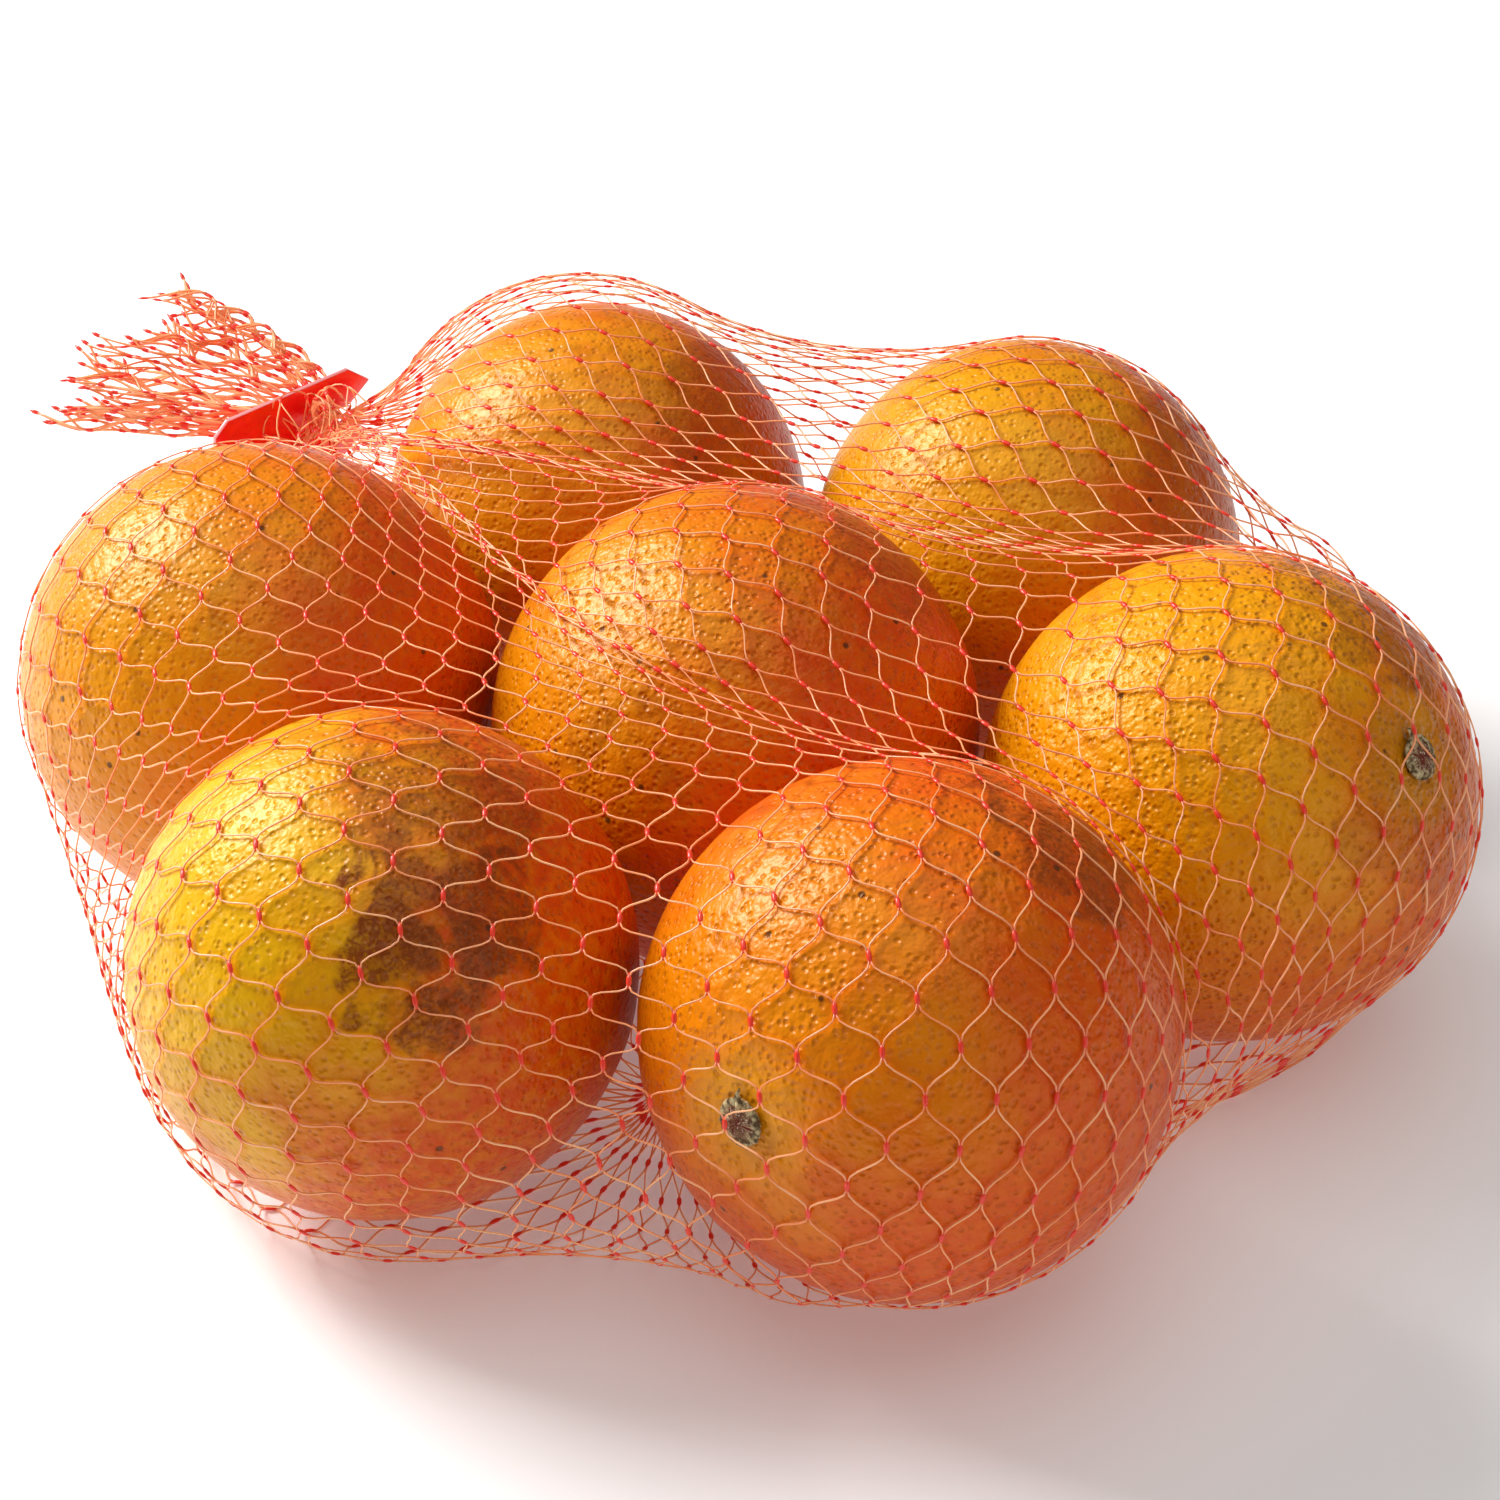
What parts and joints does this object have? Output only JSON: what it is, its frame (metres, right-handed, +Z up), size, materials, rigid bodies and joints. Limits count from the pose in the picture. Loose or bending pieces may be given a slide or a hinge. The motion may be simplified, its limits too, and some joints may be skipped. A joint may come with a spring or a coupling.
{
  "type": "net bag of oranges",
  "caption": "Red plastic mesh produce bag filled with loose oranges, gathered at one corner by a flat push-on closure tag with a frilled tail of net beyond it.",
  "frame": {"origin": "on the table, in the net's flat underside, under the middle orange", "axes": "+Z up from the table, +X to the right along the bag's longest side, +Y to the back; the gathered neck is at -X +Y"},
  "size_m": [0.2722, 0.2642, 0.0905],
  "materials": {
    "net": "extruded plastic mesh, satin",
    "tag": "glossy die-cut sheet",
    "peel": "pitted waxy orange peel",
    "stem": "dry, matte",
    "clip": "crimped wire, satin"
  },
  "bodies": {
    "net": {"net_bag": "net", "net_neck": "net", "net_end_gather": "net", "end_clip": "clip"},
    "tag": {"closure_tag": "tag"},
    "tail": {"net_tail": "net"},
    "fruit_left": {"orange_left": "peel", "stem_button_left": "stem"},
    "fruit_back_left": {"orange_back_left": "peel", "stem_button_back_left": "stem"},
    "fruit_back_right": {"orange_back_right": "peel", "stem_button_back_right": "stem"},
    "fruit_right": {"orange_right": "peel", "stem_button_right": "stem"},
    "fruit_front_middle": {"orange_front_middle": "peel", "stem_button_front_middle": "stem"},
    "fruit_front_left": {"orange_front_left": "peel", "stem_button_front_left": "stem"},
    "fruit_middle": {"orange_middle": "peel", "stem_button_middle": "stem"}
  },
  "joints": [
    {"name": "tag_slide", "type": "slide", "parent": "net", "child": "tag", "axis": [-0.6917, -0.7222, 0], "range_m": [0, 0.016]},
    {"name": "tail_bend", "type": "hinge", "parent": "net", "child": "tail", "pos_m": [-0.08903, 0.10504, 0.05374], "axis": [0.2692, 0.9631, 0], "range_deg": [-40, 45], "stiffness_Nm_per_rad": 0.03},
    {"name": "fruit_left_turn", "type": "hinge", "parent": "net", "child": "fruit_left", "pos_m": [-0.0897, 0.0167, 0.04495], "axis": [-0.3509, 0.9023, 0.2506], "continuous": true},
    {"name": "fruit_back_left_turn", "type": "hinge", "parent": "net", "child": "fruit_back_left", "pos_m": [-0.0306, 0.082, 0.04325], "axis": [-0.1506, 0.9034, 0.4015], "continuous": true},
    {"name": "fruit_back_right_turn", "type": "hinge", "parent": "net", "child": "fruit_back_right", "pos_m": [0.0543, 0.0659, 0.04325], "axis": [0.4494, 0.799, 0.3995], "continuous": true},
    {"name": "fruit_right_turn", "type": "hinge", "parent": "net", "child": "fruit_right", "pos_m": [0.0834, -0.0194, 0.04435], "axis": [0.6423, -0.5319, 0.5519], "continuous": true},
    {"name": "fruit_front_middle_turn", "type": "hinge", "parent": "net", "child": "fruit_front_middle", "pos_m": [0.0251, -0.0837, 0.04425], "axis": [-0.6314, -0.7517, 0.1904], "continuous": true},
    {"name": "fruit_front_left_turn", "type": "hinge", "parent": "net", "child": "fruit_front_left", "pos_m": [-0.0597, -0.0651, 0.04305], "axis": [-0.7011, 0.3505, -0.621], "continuous": true},
    {"name": "fruit_middle_turn", "type": "hinge", "parent": "net", "child": "fruit_middle", "pos_m": [-0.0026, -0.0001, 0.04525], "axis": [0.4506, 0.3505, -0.8211], "continuous": true}
  ]
}
